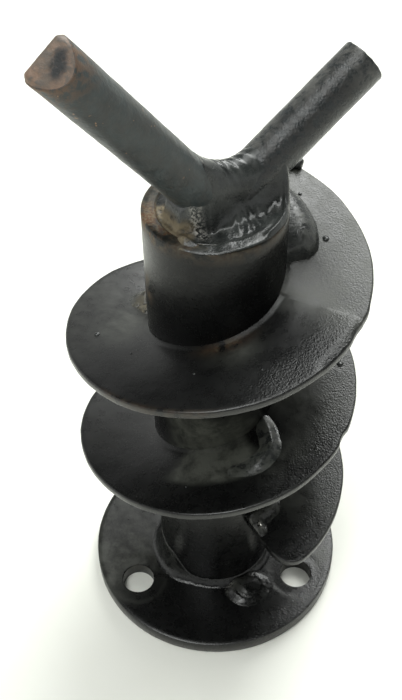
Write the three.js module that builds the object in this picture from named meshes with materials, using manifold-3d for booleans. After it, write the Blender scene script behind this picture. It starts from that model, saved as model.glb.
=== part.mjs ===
// Feed auger of a solid-fuel burner: a bolted drive flange, a hub tube, a right-hand helical
// flight in butt-welded sections, and two round prongs welded into the open end of the tube.
// Millimetres, +Z along the auger, origin at the centre of the flange's underside.

import * as THREE from 'three';
import { mergeVertices } from 'three/addons/utils/BufferGeometryUtils.js';
import Module from 'manifold-3d';

const wasm = await Module();
wasm.setup();

// Clearance left between neighbouring solids where the real pieces are welded together.
const GAP = 0.3;

// Drive flange, cut from plate.
const FLANGE_RADIUS = 67.5;
const FLANGE_THICKNESS = 8;
const BOLT_COUNT = 3;
const BOLT_CIRCLE_RADIUS = 50.5;
const BOLT_HOLE_RADIUS = 8.5;
const FIRST_BOLT_ANGLE = -23;

// Hub tube, 60.3 x 6.3 pipe, with a plug disc set below its rim.
const TUBE_RADIUS = 30.15;
const TUBE_BORE_RADIUS = 23.85;
const TUBE_TOP = 247.6;
const TUBE_BOTTOM = FLANGE_THICKNESS + GAP;
const PLUG_TOP = TUBE_TOP - 3;
const PLUG_THICKNESS = 6;

// Helical flight. Heights are those of its upper face, angles are in degrees from +X.
const FLIGHT_RADIUS = 67.5;
const FLIGHT_INNER_RADIUS = TUBE_RADIUS + GAP;
const FLIGHT_THICKNESS = 4;
const FLIGHT_PITCH = 70;
const FLIGHT_HEIGHT_AT_ZERO = 215.1;
const FLIGHT_TOP_ANGLE = 75;
const SEAM_ANGLES = [-20.6, -383.4, -746.2];
const FLIGHT_TAIL_ANGLE = -773.5;
const TAIL_CORNER_RADIUS = 13;
const SEAM_HALF_ANGLE = 1;
const SEAM_CLEARANCE_ANGLE = 0.6;
const ROOT_WELD_LEG = 4;
const HELIX_STEP = 7.5;
const TAIL_STEP = 1.5;

// Prongs, round bar. The axes meet the tube's axis near its mouth, in one upright plane.
const BAR_RADIUS = 9.85;
const PRONG_PLANE_ANGLE = 38;
const LEFT_PRONG = { angle: PRONG_PLANE_ANGLE - 180, rise: 53.2, base: 0, length: 109.5 };
const RIGHT_PRONG = { angle: PRONG_PLANE_ANGLE, rise: 32.5, base: -3.4, length: 84.5 };
const CHISEL_ANGLE = 40;

// Welds at the flange: a fillet round the tube, and a swirl of weld that interrupts it.
const FLANGE_WELD_WIDTH = 7;
const FLANGE_WELD_HEIGHT = 13;
const MOUND = { angle: -46, radius: 38, size: 12, height: 6 };

// Large weld deposits on the flight, against the tube.
const UPPER_LOBE = { angle: 27, radius: 35, along: 17, across: 13.5, height: 11 };
const SIDE_DOLLOP = { angle: -203, radius: 36.5, along: 8, across: 9, height: 7 };
const TAIL_FILL = { angle: -765, radius: 34.5, along: 12, across: 9, height: 7 };
const EDGE_TACK = { angle: 59, radius: 66.5, along: 4, across: 4, height: 4 };

// A raised bead that curls out from the tube over the flight, as [angle, radius] pairs.
const BEAD_ROUTE = [[-399, 33], [-404, 40], [-412, 44.5], [-422, 46.5], [-434, 47]];
const BEAD_RADIUS = 3.6;

// Weld at the prongs' feet. All three deposits lie in or above the tube's mouth.
const ROOT_DOME = { angle: 38, radius: 3, along: 19, across: 20, height: 13 };
const ROOT_SADDLE = { angle: 8, radius: 14, along: 16, across: 14, height: 13 };
const WEB = { angle: 38, radius: 5, along: 6, across: 11, height: 9 };
const WEB_RISE = 12;

const ROUND_SEGMENTS = 48;
const BLOB_SEGMENTS = 16;

const STEEL = {
  paint: { color: 0x3b3e3c, roughness: 0.5, metalness: 0.4 },
  bar: { color: 0x4a4c48, roughness: 0.55, metalness: 0.5 },
  weld: { color: 0x55554f, roughness: 0.4, metalness: 0.6 },
};

const object = new THREE.Group();

function addPiece(name, geometry, finish) {
  const mesh = new THREE.Mesh(geometry, new THREE.MeshStandardMaterial(STEEL[finish]));
  mesh.name = name;
  object.add(mesh);
}

// Closed-solid arithmetic ----------------------------------------------------------------

function toSolid(geometry) {
  const bare = geometry.clone();
  bare.deleteAttribute('normal');
  bare.deleteAttribute('uv');
  const merged = mergeVertices(bare, 1e-4);
  return new wasm.Manifold(new wasm.Mesh({
    numProp: 3,
    vertProperties: new Float32Array(merged.attributes.position.array),
    triVerts: new Uint32Array(merged.index.array),
  }));
}

function toGeometry(solid) {
  const mesh = solid.getMesh();
  const geometry = new THREE.BufferGeometry();
  geometry.setAttribute('position', new THREE.BufferAttribute(mesh.vertProperties, 3));
  geometry.setIndex(new THREE.BufferAttribute(mesh.triVerts, 1));
  return geometry;
}

function cut(geometry, ...cutters) {
  const solid = cutters.reduce((rest, cutter) => rest.subtract(toSolid(cutter)), toSolid(geometry));
  return toGeometry(solid);
}

function join(first, second) {
  return toGeometry(toSolid(first).add(toSolid(second)));
}

// Positions ------------------------------------------------------------------------------

const radians = THREE.MathUtils.degToRad;

function flightHeight(angle) {
  return FLIGHT_HEIGHT_AT_ZERO + FLIGHT_PITCH * angle / 360;
}

function polar(angle, radius, height) {
  return new THREE.Vector3(
    radius * Math.cos(radians(angle)),
    radius * Math.sin(radians(angle)),
    height,
  );
}

function prongDirection(prong) {
  const flat = Math.cos(radians(prong.rise));
  return polar(prong.angle, flat, Math.sin(radians(prong.rise)));
}

// Basic closed shapes --------------------------------------------------------------------

// A ring or disc turned about +Z from [radius, height] pairs that close on themselves.
function turned(profile, segments = ROUND_SEGMENTS) {
  const points = profile.map(([radius, height]) => new THREE.Vector2(radius, height));
  return new THREE.LatheGeometry(points, segments).rotateX(Math.PI / 2);
}

function disc(radius, bottom, top) {
  return new THREE.CylinderGeometry(radius, radius, top - bottom, ROUND_SEGMENTS)
    .rotateX(Math.PI / 2)
    .translate(0, 0, (top + bottom) / 2);
}

// A section of [radius, height] pairs carried down the helix from one angle to a lower one.
// limit(angle) is the largest radius allowed there.
function helical(section, fromAngle, toAngle, step = HELIX_STEP, limit = () => Infinity) {
  const corners = section.map(([radius, height]) => new THREE.Vector2(radius, height));
  const shape = new THREE.Shape(corners);
  const steps = Math.max(1, Math.round((fromAngle - toAngle) / step));
  const geometry = new THREE.ExtrudeGeometry(shape, { depth: 1, steps, bevelEnabled: false });
  const position = geometry.attributes.position;
  for (let i = 0; i < position.count; i += 1) {
    const angle = fromAngle + (toAngle - fromAngle) * position.getZ(i);
    const radius = Math.min(position.getX(i), limit(angle));
    const point = polar(angle, radius, flightHeight(angle) + position.getY(i));
    position.setXYZ(i, point.x, point.y, point.z);
  }
  return geometry;
}

// The flight's cross-section, with points between its edges so that the faces twist evenly.
function flightSection(inner, outer, bottom, top) {
  const radii = [0, 1 / 3, 2 / 3, 1].map((part) => inner + (outer - inner) * part);
  return [
    ...radii.map((radius) => [radius, bottom]),
    ...radii.reverse().map((radius) => [radius, top]),
  ];
}

// Rounded corner at the flight's lower end.
function tailLimit(angle) {
  const fromEnd = radians(angle - FLIGHT_TAIL_ANGLE) * FLIGHT_RADIUS;
  const inside = Math.max(0, TAIL_CORNER_RADIUS - fromEnd);
  return FLIGHT_RADIUS - TAIL_CORNER_RADIUS + Math.sqrt(TAIL_CORNER_RADIUS ** 2 - inside ** 2);
}

// A rounded deposit: an ellipsoid with its long side along the tangent at an angle.
function deposit({ angle, radius, along, across, height }, centreHeight) {
  return new THREE.SphereGeometry(1, BLOB_SEGMENTS, BLOB_SEGMENTS / 2)
    .scale(across, along, height)
    .rotateZ(radians(angle))
    .translate(...polar(angle, radius, centreHeight));
}

// A round bar along a prong's axis, from a distance before its foot to the given length.
function bar(prong, radius, back, length) {
  const direction = prongDirection(prong);
  const turn = new THREE.Quaternion().setFromUnitVectors(new THREE.Vector3(0, 1, 0), direction);
  const middle = direction.clone().multiplyScalar((length - back) / 2);
  return new THREE.CylinderGeometry(radius, radius, length + back, ROUND_SEGMENTS / 2)
    .applyQuaternion(turn)
    .translate(middle.x, middle.y, middle.z + TUBE_TOP + prong.base);
}

// Cutters --------------------------------------------------------------------------------

const FAR = 200;
const tubeCutter = disc(TUBE_RADIUS + GAP, 0, TUBE_TOP);
const leftBarCutter = bar(LEFT_PRONG, BAR_RADIUS + GAP, BAR_RADIUS * 3, FAR);
const rightBarCutter = bar(RIGHT_PRONG, BAR_RADIUS + GAP, BAR_RADIUS * 3, FAR);
const belowPlug = new THREE.BoxGeometry(FAR, FAR, FAR)
  .translate(0, 0, PLUG_TOP + GAP - FAR / 2);
const wallCutter = turned([
  [TUBE_BORE_RADIUS - GAP, TUBE_TOP - 2 * PLUG_THICKNESS],
  [TUBE_RADIUS + GAP, TUBE_TOP - 2 * PLUG_THICKNESS],
  [TUBE_RADIUS + GAP, TUBE_TOP + GAP],
  [TUBE_BORE_RADIUS - GAP, TUBE_TOP + GAP],
  [TUBE_BORE_RADIUS - GAP, TUBE_TOP - 2 * PLUG_THICKNESS],
]);

// Everything from the flight's upper face down, over the stretch of helix around an angle.
function flightCutter(angle) {
  const section = flightSection(FLIGHT_INNER_RADIUS - 4, FLIGHT_RADIUS + 9, -30, GAP);
  return helical(section, angle + 60, angle - 60, HELIX_STEP / 3);
}

// Drive flange ---------------------------------------------------------------------------

function makeFlange() {
  const outline = new THREE.Shape();
  outline.absarc(0, 0, FLANGE_RADIUS, 0, 2 * Math.PI);
  for (let bolt = 0; bolt < BOLT_COUNT; bolt += 1) {
    const centre = polar(FIRST_BOLT_ANGLE + bolt * 360 / BOLT_COUNT, BOLT_CIRCLE_RADIUS, 0);
    const hole = new THREE.Path();
    hole.absarc(centre.x, centre.y, BOLT_HOLE_RADIUS, 0, 2 * Math.PI);
    outline.holes.push(hole);
  }
  return new THREE.ExtrudeGeometry(outline, {
    depth: FLANGE_THICKNESS,
    bevelEnabled: false,
    curveSegments: ROUND_SEGMENTS,
  });
}

addPiece('flange_plate', makeFlange(), 'paint');

// Hub tube and its plug ------------------------------------------------------------------

addPiece('hub_tube', turned([
  [TUBE_BORE_RADIUS, TUBE_BOTTOM],
  [TUBE_RADIUS, TUBE_BOTTOM],
  [TUBE_RADIUS, TUBE_TOP],
  [TUBE_BORE_RADIUS, TUBE_TOP],
  [TUBE_BORE_RADIUS, TUBE_BOTTOM],
]), 'paint');
addPiece('tube_end_plug', disc(TUBE_BORE_RADIUS - GAP, PLUG_TOP - PLUG_THICKNESS, PLUG_TOP), 'paint');

// Flange welds ---------------------------------------------------------------------------

const weldFoot = FLANGE_THICKNESS + GAP;
const filletInner = TUBE_RADIUS + GAP;
const moundFoot = polar(MOUND.angle, MOUND.radius, weldFoot);
const fillet = turned([
  [filletInner, weldFoot],
  [filletInner + FLANGE_WELD_WIDTH, weldFoot],
  [filletInner + FLANGE_WELD_WIDTH * 0.35, weldFoot + FLANGE_WELD_HEIGHT * 0.4],
  [filletInner, weldFoot + FLANGE_WELD_HEIGHT],
  [filletInner, weldFoot],
]);
const moundCutter = disc(MOUND.size + GAP, -GAP, 2 * FLANGE_WELD_HEIGHT)
  .translate(...moundFoot);

addPiece('flange_weld', cut(fillet, moundCutter), 'weld');

// The swirl has a raised rim and a dip in its middle.
const mound = turned([
  [0, 0],
  [MOUND.size, 0],
  [MOUND.size * 0.85, MOUND.height * 0.7],
  [MOUND.size * 0.6, MOUND.height],
  [0, MOUND.height * 0.5],
], BLOB_SEGMENTS).translate(...moundFoot);

addPiece('flange_weld_mound', cut(mound, tubeCutter), 'weld');

// Helical flight -------------------------------------------------------------------------

const plateSection = flightSection(FLIGHT_INNER_RADIUS, FLIGHT_RADIUS, -FLIGHT_THICKNESS, 0);
const seamMargin = SEAM_HALF_ANGLE + SEAM_CLEARANCE_ANGLE;
const [upperSeam, middleSeam, lowerSeam] = SEAM_ANGLES;
const flightPieces = [
  ['flight_top_section', FLIGHT_TOP_ANGLE, upperSeam + seamMargin],
  ['flight_upper_turn', upperSeam - seamMargin, middleSeam + seamMargin],
  ['flight_lower_turn', middleSeam - seamMargin, lowerSeam + seamMargin],
];

for (const [name, fromAngle, toAngle] of flightPieces) {
  addPiece(name, helical(plateSection, fromAngle, toAngle), 'paint');
}
addPiece('flight_tail_section', helical(
  plateSection,
  lowerSeam - seamMargin,
  FLIGHT_TAIL_ANGLE,
  TAIL_STEP,
  tailLimit,
), 'paint');

const seamNames = ['flight_seam_weld_upper', 'flight_seam_weld_middle', 'flight_seam_weld_lower'];
seamNames.forEach((name, i) => {
  const seam = SEAM_ANGLES[i];
  addPiece(name, helical(plateSection, seam + SEAM_HALF_ANGLE, seam - SEAM_HALF_ANGLE), 'weld');
});

// Fillet under the flight along the tube.
const rootTop = -FLIGHT_THICKNESS - GAP;
addPiece('flight_root_weld', helical([
  [FLIGHT_INNER_RADIUS, rootTop - ROOT_WELD_LEG],
  [FLIGHT_INNER_RADIUS + ROOT_WELD_LEG, rootTop],
  [FLIGHT_INNER_RADIUS, rootTop],
], FLIGHT_TOP_ANGLE, FLIGHT_TAIL_ANGLE), 'weld');

// Large deposits on the flight -----------------------------------------------------------

function depositOnFlight(place) {
  const solid = deposit(place, flightHeight(place.angle));
  return cut(solid, tubeCutter, flightCutter(place.angle));
}

addPiece('upper_weld_lobe', depositOnFlight(UPPER_LOBE), 'weld');
addPiece('side_weld_dollop', depositOnFlight(SIDE_DOLLOP), 'weld');
addPiece('tail_weld_fill', depositOnFlight(TAIL_FILL), 'weld');

addPiece('edge_tack_weld', depositOnFlight(EDGE_TACK), 'weld');

function makeBead() {
  const route = new THREE.CatmullRomCurve3(
    BEAD_ROUTE.map(([angle, radius]) => polar(angle, radius, flightHeight(angle) + BEAD_RADIUS / 2)),
  );
  const section = new THREE.Shape();
  section.absarc(0, 0, BEAD_RADIUS, 0, 2 * Math.PI);
  return new THREE.ExtrudeGeometry(section, {
    steps: 3 * BEAD_ROUTE.length,
    curveSegments: BLOB_SEGMENTS / 2,
    extrudePath: route,
  });
}

const [beadMiddleAngle] = BEAD_ROUTE[2];
addPiece('middle_weld_bead', cut(makeBead(), tubeCutter, flightCutter(beadMiddleAngle)), 'weld');

// Prongs ---------------------------------------------------------------------------------

// The stock beyond one face of a roof-shaped end, whose ridge lies in the prongs' plane.
function chiselCutter(prong, side) {
  const direction = prongDirection(prong);
  const sideways = polar(prong.angle + 90, side, 0);
  const normal = direction.clone().multiplyScalar(Math.cos(radians(CHISEL_ANGLE)))
    .addScaledVector(sideways, Math.sin(radians(CHISEL_ANGLE)));
  const turn = new THREE.Quaternion().setFromUnitVectors(new THREE.Vector3(0, 0, 1), normal);
  const size = 6 * BAR_RADIUS;
  const centre = direction.clone().multiplyScalar(prong.length)
    .addScaledVector(normal, size / 2);
  return new THREE.BoxGeometry(size, size, size)
    .applyQuaternion(turn)
    .translate(centre.x, centre.y, centre.z + TUBE_TOP + prong.base);
}

addPiece('prong_left', cut(
  bar(LEFT_PRONG, BAR_RADIUS, BAR_RADIUS * 2, LEFT_PRONG.length),
  belowPlug,
  chiselCutter(LEFT_PRONG, 1),
  chiselCutter(LEFT_PRONG, -1),
), 'bar');
addPiece('prong_right', cut(
  bar(RIGHT_PRONG, BAR_RADIUS, 0, RIGHT_PRONG.length),
  belowPlug,
  leftBarCutter,
), 'bar');

// Welds at the prongs' feet --------------------------------------------------------------

// Half of the space around the tube's mouth, on one side of the prongs' plane.
function besidePlane(side) {
  const size = 4 * TUBE_RADIUS;
  return new THREE.BoxGeometry(size, size, size)
    .translate(0, side * (size / 2 - GAP / 2), 0)
    .rotateZ(radians(PRONG_PLANE_ANGLE))
    .translate(0, 0, TUBE_TOP);
}

const dome = deposit(ROOT_DOME, PLUG_TOP + GAP);
const saddle = deposit(ROOT_SADDLE, PLUG_TOP + GAP);
const rootCutters = [belowPlug, wallCutter, leftBarCutter, rightBarCutter];

addPiece('prong_weld_front', cut(join(dome, saddle), ...rootCutters, besidePlane(1)), 'weld');
addPiece('prong_weld_back', cut(dome, ...rootCutters, besidePlane(-1)), 'weld');

// The web that rounds out the angle between the two bars.
const webFloor = disc(TUBE_RADIUS, 0, PLUG_TOP + ROOT_DOME.height + 2 * GAP);
addPiece('prong_web_weld', cut(
  deposit(WEB, TUBE_TOP + WEB_RISE),
  leftBarCutter,
  rightBarCutter,
  webFloor,
), 'weld');

export default object;
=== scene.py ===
import math

import bmesh
import bpy
from mathutils import Matrix, Vector, noise


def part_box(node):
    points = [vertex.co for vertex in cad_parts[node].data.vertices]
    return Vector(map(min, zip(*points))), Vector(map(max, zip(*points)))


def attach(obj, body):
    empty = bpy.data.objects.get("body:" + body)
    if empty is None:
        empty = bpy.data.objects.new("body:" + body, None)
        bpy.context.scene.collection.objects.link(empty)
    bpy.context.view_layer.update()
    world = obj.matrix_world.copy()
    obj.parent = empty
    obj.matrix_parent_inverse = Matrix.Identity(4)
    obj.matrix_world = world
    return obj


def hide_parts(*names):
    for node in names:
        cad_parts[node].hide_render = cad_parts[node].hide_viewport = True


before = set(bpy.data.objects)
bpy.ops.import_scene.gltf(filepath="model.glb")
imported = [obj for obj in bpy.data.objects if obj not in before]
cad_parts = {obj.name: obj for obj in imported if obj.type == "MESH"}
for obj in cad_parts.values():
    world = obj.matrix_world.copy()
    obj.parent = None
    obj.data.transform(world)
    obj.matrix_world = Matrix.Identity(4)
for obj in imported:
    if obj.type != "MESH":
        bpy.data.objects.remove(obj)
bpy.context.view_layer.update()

# Feed auger of a burner: bolted flange, hub tube, helical flight and two prongs.
# Shapes are worked out in millimetres in the frame's axes and scaled when a mesh is made.
MM = 0.001
scene = bpy.context.scene


def cad_box(node):
    """A CAD node's box in millimetres."""
    low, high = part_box(node)
    return low / MM, high / MM


# ---------------------------------------------------------------- dimensions
FLANGE_TOP = cad_box("flange_plate")[1].z
FLANGE_RADIUS = cad_box("flange_plate")[1].x
TUBE_TOP = cad_box("hub_tube")[1].z
TUBE_RADIUS = cad_box("hub_tube")[1].x
PLUG_TOP = cad_box("tube_end_plug")[1].z
BORE_RADIUS = cad_box("tube_end_plug")[1].x + 0.3
FLIGHT_RADIUS = cad_box("flight_upper_turn")[1].x
FLIGHT_THICKNESS = 4.0
FLIGHT_PITCH = 70.0
FLIGHT_HEIGHT_AT_ZERO = 215.1
FLIGHT_TOP_ANGLE = 75.0
UPPER_SEAM, MIDDLE_SEAM, LOWER_SEAM = -20.6, -383.4, -746.2
FLIGHT_TAIL_ANGLE = -773.5
TAIL_CORNER = 13.0
SEAM_HALF = 0.9
EDGE_ROUND = 1.0
EDGE_TRIM = 0.35
ROLLED_EDGE = (-44, -22)
BOLT_ANGLES = (-23.0, 97.0, 217.0)
BOLT_CIRCLE = 50.5
HOLE_RADIUS = 8.5
WASHER_MARK = 15.2
BAR_RADIUS = 9.85
CHISEL_ANGLE = 40.0
PLANE_ANGLE = 38.0
LEFT = {"angle": PLANE_ANGLE - 180, "rise": 53.2, "base": 0.0, "length": 109.5, "buried": 15.0}
RIGHT = {"angle": PLANE_ANGLE, "rise": 32.5, "base": -3.4, "length": 84.5, "buried": -6.0}


# ---------------------------------------------------------------- small helpers
def polar(angle, radius, z=0.0):
    turn = math.radians(angle)
    return Vector((radius * math.cos(turn), radius * math.sin(turn), z))


def flight_height(angle):
    """Height of the flight's upper face, as a true helicoid."""
    return FLIGHT_HEIGHT_AT_ZERO + FLIGHT_PITCH * angle / 360


def ramp(value, low, high):
    """0 at low, 1 at high, with a soft start and stop. low may be above high."""
    part = min(1.0, max(0.0, (value - low) / (high - low)))
    return part * part * (3 - 2 * part)


def window(value, low, high, soft):
    """1 between low and high, falling to 0 over a width of soft outside them."""
    return ramp(value, low - soft, low) * ramp(value, high + soft, high)


def lump(a, b, centre_a, centre_b, size_a, size_b):
    """A round hill of height 1 in two coordinates."""
    far = ((a - centre_a) / size_a) ** 2 + ((b - centre_b) / size_b) ** 2
    return math.exp(-far)


def ripple(point, size, seed=0):
    """Smooth noise from -1 to 1, with features of about that size."""
    return noise.noise(point / size + Vector((seed * 17.3, seed * 5.1, seed * 9.7)))


def smooth_max(a, b, blend):
    near = max(blend - abs(a - b), 0.0) / blend
    return max(a, b) + near * near * blend / 4


def between(table, where, column):
    """A column of a table whose first column rises, read between its rows."""
    if where <= table[0][0]:
        return table[0][column]
    for low, high in zip(table, table[1:]):
        if where <= high[0]:
            part = (where - low[0]) / (high[0] - low[0])
            return low[column] + (high[column] - low[column]) * part
    return table[-1][column]


def loft(rings, wrap=False):
    """Points and faces of a skin over equal closed rings. Unwrapped ends are closed flat."""
    count = len(rings[0])
    points = [p for ring in rings for p in ring]
    faces = []
    spans = len(rings) if wrap else len(rings) - 1
    for i in range(spans):
        first, second = i * count, (i + 1) % len(rings) * count
        for j in range(count):
            k = (j + 1) % count
            faces.append((first + j, first + k, second + k, second + j))
    if not wrap:
        faces.append(tuple(range(count)))
        faces.append(tuple((len(rings) - 1) * count + j for j in range(count)))
    return points, faces


def mesh_of(name, shape):
    """A mesh in metres with its faces turned out."""
    points, faces = shape
    mesh = bpy.data.meshes.new(name)
    mesh.from_pydata([p * MM for p in points], [], faces)
    shell = bmesh.new()
    shell.from_mesh(mesh)
    bmesh.ops.recalc_face_normals(shell, faces=shell.faces)
    shell.to_mesh(mesh)
    shell.free()
    return mesh


def make(name, shape, material, replaced=(), sharp=38, masks=()):
    """A closed mesh piece that rides on the part. Edges bent by more than sharp degrees stay
    sharp, and masks holds (name, values per point)."""
    mesh = mesh_of(name, shape)
    for polygon in mesh.polygons:
        polygon.use_smooth = True
    mesh.set_sharp_from_angle(angle=math.radians(sharp))
    for mask, values in masks:
        layer = mesh.attributes.new(mask, "FLOAT", "POINT")
        layer.data.foreach_set("value", values)
    mesh.materials.append(material)
    piece = bpy.data.objects.new(name, mesh)
    scene.collection.objects.link(piece)
    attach(piece, "root")
    if replaced:
        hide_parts(*replaced)
    return piece


# ---------------------------------------------------------------- finishes
class Finish:
    """A procedural material, with short calls for the nodes used here."""

    def __init__(self, name):
        self.material = bpy.data.materials.new(name)
        self.material.use_nodes = True
        self.tree = self.material.node_tree
        self.shader = self.tree.nodes["Principled BSDF"]
        self.place = self.tree.nodes.new("ShaderNodeTexCoord").outputs["Object"]

    def node(self, kind, **settings):
        made = self.tree.nodes.new(kind)
        for key, value in settings.items():
            setattr(made, key, value)
        return made

    def put(self, socket, value):
        if isinstance(value, bpy.types.NodeSocket):
            self.tree.links.new(value, socket)
        else:
            socket.default_value = value

    def noise(self, size, detail=3.0, roughness=0.55, seed=0.0):
        mapping = self.node("ShaderNodeMapping")
        self.put(mapping.inputs["Vector"], self.place)
        mapping.inputs["Location"].default_value = (seed, seed * 0.7, seed * 1.3)
        made = self.node("ShaderNodeTexNoise")
        self.put(made.inputs["Vector"], mapping.outputs["Vector"])
        made.inputs["Scale"].default_value = 1 / (size * MM)
        made.inputs["Detail"].default_value = detail
        made.inputs["Roughness"].default_value = roughness
        return made.outputs[0]

    def ramp(self, value, low, high, start=0.0, stop=1.0):
        made = self.node("ShaderNodeMapRange", interpolation_type="SMOOTHSTEP")
        for socket, number in zip(made.inputs, (value, low, high, start, stop)):
            self.put(socket, number)
        return made.outputs[0]

    def math(self, operation, a, b):
        made = self.node("ShaderNodeMath", operation=operation)
        self.put(made.inputs[0], a)
        self.put(made.inputs[1], b)
        return made.outputs[0]

    def times(self, a, b):
        return self.math("MULTIPLY", a, b)

    def plus(self, a, b):
        return self.math("ADD", a, b)

    def mix(self, factor, a, b):
        made = self.node("ShaderNodeMix", data_type="RGBA")
        for index, value in ((0, factor), (6, a), (7, b)):
            if isinstance(value, tuple):
                value = (*value, 1.0)
            self.put(made.inputs[index], value)
        return made.outputs[2]

    def mask(self, name):
        return self.node("ShaderNodeAttribute", attribute_name=name).outputs["Fac"]

    def bump(self, height, distance, under=None):
        made = self.node("ShaderNodeBump")
        made.inputs["Distance"].default_value = distance * MM
        made.inputs["Strength"].default_value = 1.0
        self.put(made.inputs["Height"], height)
        if under is not None:
            self.put(made.inputs["Normal"], under)
        return made.outputs["Normal"]

    def done(self, colour, roughness, normal, specular=0.5, metallic=0.0):
        self.put(self.shader.inputs["Base Color"], colour)
        self.put(self.shader.inputs["Roughness"], roughness)
        self.put(self.shader.inputs["Normal"], normal)
        self.put(self.shader.inputs["Metallic"], metallic)
        self.shader.inputs["Specular IOR Level"].default_value = specular
        return self.material


BLACK_DEEP = (0.0016, 0.0017, 0.0018)
BLACK_WORN = (0.0040, 0.0043, 0.0042)
# The dust colour; on the flight's sides and the weld lobe's top it also stands for painted sheen.
DUST_AND_SHEEN = (0.072, 0.075, 0.062)
RUST = (0.115, 0.052, 0.022)
TAN = (0.16, 0.125, 0.075)
WELD_GREY = (0.0113, 0.0127, 0.0124)
BARE_STEEL = (0.62, 0.6, 0.55)
SCALE_DARK = (0.11, 0.085, 0.048)
SCALE_LIGHT = (0.19, 0.155, 0.095)
BAR_WORN = (0.070, 0.073, 0.068)
BAR_RUST = (0.17, 0.085, 0.04)
BAR_CHIP = (0.26, 0.15, 0.08)
END_BROWNS = (0.205, 0.135, 0.095), (0.135, 0.105, 0.082), (0.12, 0.10, 0.085)
END_DARK = (0.022, 0.023, 0.024)


def black_paint(name, roughness, orange_peel, specular=0.5):
    """Glossy black paint with dust, rust and sparkly grain where the masks say so. The dust mask also
    carries painted sheen on the flight's sides.
    """
    look = Finish(name)
    cloud = look.noise(26, 5, 0.6, 0.3)
    mottle = look.noise(5.5, 4, 0.65, 0.9)
    fine = look.noise(1.2, 3, 0.6, 0.1)
    leather = look.noise(0.85, 2, 0.5, 0.5)
    veil = look.plus(look.times(cloud, 0.45), look.plus(look.times(mottle, 0.4), look.times(fine, 0.15)))
    dust_and_sheen = look.times(look.mask("dust_and_sheen"), look.ramp(veil, 0.38, 0.62, 0.25, 1.1))
    rust = look.times(look.mask("rust"), look.ramp(mottle, 0.38, 0.58))
    grain = look.mask("grain")
    colour = look.mix(look.ramp(cloud, 0.35, 0.7), BLACK_DEEP, BLACK_WORN)
    colour = look.mix(dust_and_sheen, colour, DUST_AND_SHEEN)
    colour = look.mix(rust, colour, look.mix(look.ramp(fine, 0.4, 0.6), RUST, TAN))
    gloss = look.plus(look.ramp(mottle, 0.3, 0.7, roughness - 0.02, roughness + 0.03),
                      look.plus(look.times(dust_and_sheen, 0.22), look.times(rust, 0.3)))
    normal = look.bump(look.noise(9, 2, 0.5, 0.7), 0.12)
    normal = look.bump(fine, orange_peel, normal)
    normal = look.bump(look.times(grain, leather), 0.28, normal)
    return look.done(colour, gloss, normal, specular)


def weld_metal(name, painted_light_level):
    """Dark weld under thin paint: glossy, rippled, with specks of bare steel. Its grey is scaled by the
    second argument, so its copies carry painted light and painted shade.
    """
    look = Finish(name)
    mottle = look.noise(4.0, 4, 0.65, 0.2)
    fine = look.noise(1.1, 3, 0.6, 0.8)
    cloud = look.noise(14, 3, 0.5, 1.4)
    dust_and_sheen = look.times(look.mask("dust_and_sheen"), look.ramp(mottle, 0.35, 0.62))
    crust = look.plus(look.times(mottle, 0.6), look.times(fine, 0.4))
    rust = look.times(look.mask("rust"), look.ramp(crust, 0.36, 0.52, 0.15, 1.0))
    bare = look.times(look.mask("bare"), look.ramp(fine, 0.46, 0.56))
    # The weld grey is scaled up for the copy with painted light and down for the copy with painted shade.
    light = tuple(painted_light_level * c for c in WELD_GREY)
    colour = look.mix(look.ramp(cloud, 0.35, 0.65), tuple(0.4 * c for c in light), light)
    colour = look.mix(dust_and_sheen, colour, DUST_AND_SHEEN)
    colour = look.mix(rust, colour, look.mix(look.ramp(mottle, 0.4, 0.6), SCALE_DARK, SCALE_LIGHT))
    colour = look.mix(bare, colour, BARE_STEEL)
    gloss = look.plus(look.ramp(mottle, 0.3, 0.7, 0.17, 0.35),
                      look.plus(look.times(dust_and_sheen, 0.2), look.times(rust, 0.35)))
    normal = look.bump(mottle, 0.3)
    normal = look.bump(fine, 0.08, normal)
    return look.done(colour, gloss, normal, metallic=look.times(bare, 0.9))


def bar_paint(name, tint, roughness, worn_away, pitted, chipped):
    """Thin satin paint over round bar, worn grey in patches, rusty and chipped."""
    look = Finish(name)
    patch = look.noise(9, 5, 0.65, 0.4)
    mottle = look.noise(3.0, 4, 0.65, 1.1)
    fine = look.noise(0.9, 3, 0.6, 0.6)
    rust = look.mask("rust")
    chips = look.times(look.ramp(look.noise(2.6, 2, 0.5, 3.3), 0.66, 0.69), look.ramp(patch, 0.53, 0.58))
    worn = look.ramp(look.plus(look.times(patch, 0.6), look.times(mottle, 0.4)), 0.42, 0.6, 0.0, worn_away)
    worn = look.times(worn, look.mask("dust_and_sheen"))
    colour = look.mix(look.ramp(patch, 0.35, 0.65), tint, tuple(0.55 * c for c in tint))
    colour = look.mix(worn, colour, BAR_WORN)
    colour = look.mix(look.times(rust, look.ramp(mottle, 0.40, 0.56)), colour, BAR_RUST)
    colour = look.mix(look.times(chips, chipped), colour, BAR_CHIP)
    gloss = look.plus(look.ramp(mottle, 0.3, 0.7, roughness, roughness + 0.1),
                      look.plus(look.times(worn, 0.1), look.times(rust, 0.2)))
    normal = look.bump(mottle, 0.35)
    normal = look.bump(fine, pitted, normal)
    return look.done(colour, gloss, normal)


def bare_end(name):
    """Cut end of the bar: brown worn steel with a dark grey patch."""
    look = Finish(name)
    patch = look.noise(7, 4, 0.6, 0.2)
    mottle = look.noise(2.2, 4, 0.65, 0.7)
    colour = look.mix(look.ramp(patch, 0.4, 0.62), END_BROWNS[0], END_BROWNS[1])
    colour = look.mix(look.ramp(mottle, 0.45, 0.62), colour, END_BROWNS[2])
    colour = look.mix(look.times(look.mask("dark"), look.ramp(mottle, 0.3, 0.5, 0.7, 1.0)), colour, END_DARK)
    gloss = look.ramp(mottle, 0.3, 0.7, 0.42, 0.6)
    normal = look.bump(mottle, 0.3)
    return look.done(colour, gloss, normal, metallic=0.15)


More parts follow.
